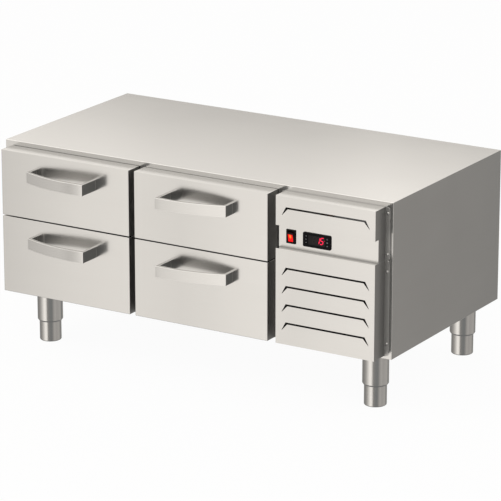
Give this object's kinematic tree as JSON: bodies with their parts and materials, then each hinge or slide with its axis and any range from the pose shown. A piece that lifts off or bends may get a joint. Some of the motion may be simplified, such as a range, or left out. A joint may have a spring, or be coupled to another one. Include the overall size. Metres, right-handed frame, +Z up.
{
  "type": "refrigerated drawer base",
  "caption": "Low refrigerated steel base with two columns of insulated full-extension drawers and a louvred technical compartment, on adjustable legs.",
  "frame": {"origin": "on the floor, under the middle of the bounding box", "axes": "+X to the right of the front, +Y to the back, +Z up; the drawers open towards -Y"},
  "size_m": [1.2, 0.7156, 0.57],
  "materials": {
    "stainless": "satin",
    "foam": "matte",
    "drawer_core": "matte",
    "gasket": "matte",
    "zinc_steel": "satin",
    "fins": "satin",
    "copper": "satin",
    "compressor_black": "gloss",
    "black_plastic": "gloss",
    "fan_plastic": "matte",
    "display_window": "gloss",
    "key_grey": "matte",
    "switch_red": "gloss"
  },
  "bodies": {
    "cabinet": {"top_panel": "stainless", "left_side_panel": "stainless", "right_side_panel": "stainless", "back_panel": "zinc_steel", "bottom_panel": "zinc_steel", "front_frame": "stainless", "bulkhead_panel": "zinc_steel", "cabinet_insulation": "foam", "inner_liner": "stainless", "evaporator_housing": "stainless", "fixed_slide_rails": "zinc_steel", "upper_cover": "stainless", "lower_cover": "stainless", "cover_screws": "zinc_steel", "switch_housing": "black_plastic", "controller_body": "black_plastic", "controller_window": "display_window", "leg_sockets": "stainless", "condenser_coil": "fins", "condenser_fan_motor": "zinc_steel", "compressor": "compressor_black", "condensate_tray": "stainless", "cord_gland": "black_plastic", "evaporator_coil": "fins", "evaporator_fan_motor": "fan_plastic", "refrigerant_pipes": "copper"},
    "upper_left_drawer": {"upper_left_drawer_front": "stainless", "upper_left_drawer_core": "drawer_core", "upper_left_drawer_gasket": "gasket", "upper_left_drawer_handle": "stainless", "upper_left_drawer_frame": "stainless"},
    "upper_left_drawer_middle_rails": {"upper_left_drawer_middle_rails": "zinc_steel"},
    "lower_left_drawer": {"lower_left_drawer_front": "stainless", "lower_left_drawer_core": "drawer_core", "lower_left_drawer_gasket": "gasket", "lower_left_drawer_handle": "stainless", "lower_left_drawer_frame": "stainless"},
    "lower_left_drawer_middle_rails": {"lower_left_drawer_middle_rails": "zinc_steel"},
    "upper_right_drawer": {"upper_right_drawer_front": "stainless", "upper_right_drawer_core": "drawer_core", "upper_right_drawer_gasket": "gasket", "upper_right_drawer_handle": "stainless", "upper_right_drawer_frame": "stainless"},
    "upper_right_drawer_middle_rails": {"upper_right_drawer_middle_rails": "zinc_steel"},
    "lower_right_drawer": {"lower_right_drawer_front": "stainless", "lower_right_drawer_core": "drawer_core", "lower_right_drawer_gasket": "gasket", "lower_right_drawer_handle": "stainless", "lower_right_drawer_frame": "stainless"},
    "lower_right_drawer_middle_rails": {"lower_right_drawer_middle_rails": "zinc_steel"},
    "key_up": {"key_up": "key_grey"},
    "key_set": {"key_set": "key_grey"},
    "key_down": {"key_down": "key_grey"},
    "switch_rocker": {"switch_rocker": "switch_red"},
    "condenser_fan_blade": {"condenser_fan_blade": "fan_plastic"},
    "evaporator_fan_blade": {"evaporator_fan_blade": "fan_plastic"},
    "front_left_foot": {"front_left_foot": "stainless"},
    "front_right_foot": {"front_right_foot": "stainless"},
    "rear_left_foot": {"rear_left_foot": "stainless"},
    "rear_right_foot": {"rear_right_foot": "stainless"}
  },
  "joints": [
    {"name": "upper_left_drawer_slide", "type": "slide", "parent": "cabinet", "child": "upper_left_drawer", "axis": [0, -1, 0], "range_m": [0, 0.52]},
    {"name": "upper_left_drawer_middle_slide", "type": "slide", "parent": "cabinet", "child": "upper_left_drawer_middle_rails", "axis": [0, -1, 0], "range_m": [0, 0.26]},
    {"name": "lower_left_drawer_slide", "type": "slide", "parent": "cabinet", "child": "lower_left_drawer", "axis": [0, -1, 0], "range_m": [0, 0.52]},
    {"name": "lower_left_drawer_middle_slide", "type": "slide", "parent": "cabinet", "child": "lower_left_drawer_middle_rails", "axis": [0, -1, 0], "range_m": [0, 0.26]},
    {"name": "upper_right_drawer_slide", "type": "slide", "parent": "cabinet", "child": "upper_right_drawer", "axis": [0, -1, 0], "range_m": [0, 0.52]},
    {"name": "upper_right_drawer_middle_slide", "type": "slide", "parent": "cabinet", "child": "upper_right_drawer_middle_rails", "axis": [0, -1, 0], "range_m": [0, 0.26]},
    {"name": "lower_right_drawer_slide", "type": "slide", "parent": "cabinet", "child": "lower_right_drawer", "axis": [0, -1, 0], "range_m": [0, 0.52]},
    {"name": "lower_right_drawer_middle_slide", "type": "slide", "parent": "cabinet", "child": "lower_right_drawer_middle_rails", "axis": [0, -1, 0], "range_m": [0, 0.26]},
    {"name": "key_up_press", "type": "slide", "parent": "cabinet", "child": "key_up", "axis": [0, 1, 0], "range_m": [0, 0.0008], "stiffness_N_per_m": 900},
    {"name": "key_set_press", "type": "slide", "parent": "cabinet", "child": "key_set", "axis": [0, 1, 0], "range_m": [0, 0.0008], "stiffness_N_per_m": 900},
    {"name": "key_down_press", "type": "slide", "parent": "cabinet", "child": "key_down", "axis": [0, 1, 0], "range_m": [0, 0.0008], "stiffness_N_per_m": 900},
    {"name": "switch_rocker_tip", "type": "hinge", "parent": "cabinet", "child": "switch_rocker", "pos_m": [0.32175, -0.2722, 0.4473], "axis": [-1, 0, 0], "range_deg": [0, 27]},
    {"name": "condenser_fan_blade_spin", "type": "hinge", "parent": "cabinet", "child": "condenser_fan_blade", "pos_m": [0.443, -0.16, 0.29], "axis": [0, 1, 0], "continuous": true},
    {"name": "evaporator_fan_blade_spin", "type": "hinge", "parent": "cabinet", "child": "evaporator_fan_blade", "pos_m": [-0.17, 0.2388, 0.41225], "axis": [1, 0, 0], "continuous": true},
    {"name": "front_left_foot_screw_out", "type": "slide", "parent": "cabinet", "child": "front_left_foot", "axis": [0, 0, -1], "range_m": [-0.004, 0.04]},
    {"name": "front_right_foot_screw_out", "type": "slide", "parent": "cabinet", "child": "front_right_foot", "axis": [0, 0, -1], "range_m": [-0.004, 0.04]},
    {"name": "rear_left_foot_screw_out", "type": "slide", "parent": "cabinet", "child": "rear_left_foot", "axis": [0, 0, -1], "range_m": [-0.004, 0.04]},
    {"name": "rear_right_foot_screw_out", "type": "slide", "parent": "cabinet", "child": "rear_right_foot", "axis": [0, 0, -1], "range_m": [-0.004, 0.04]}
  ],
  "couplings": [
    {"joint": "upper_left_drawer_middle_slide", "follows": "upper_left_drawer_slide", "ratio": 0.5},
    {"joint": "lower_left_drawer_middle_slide", "follows": "lower_left_drawer_slide", "ratio": 0.5},
    {"joint": "upper_right_drawer_middle_slide", "follows": "upper_right_drawer_slide", "ratio": 0.5},
    {"joint": "lower_right_drawer_middle_slide", "follows": "lower_right_drawer_slide", "ratio": 0.5}
  ]
}
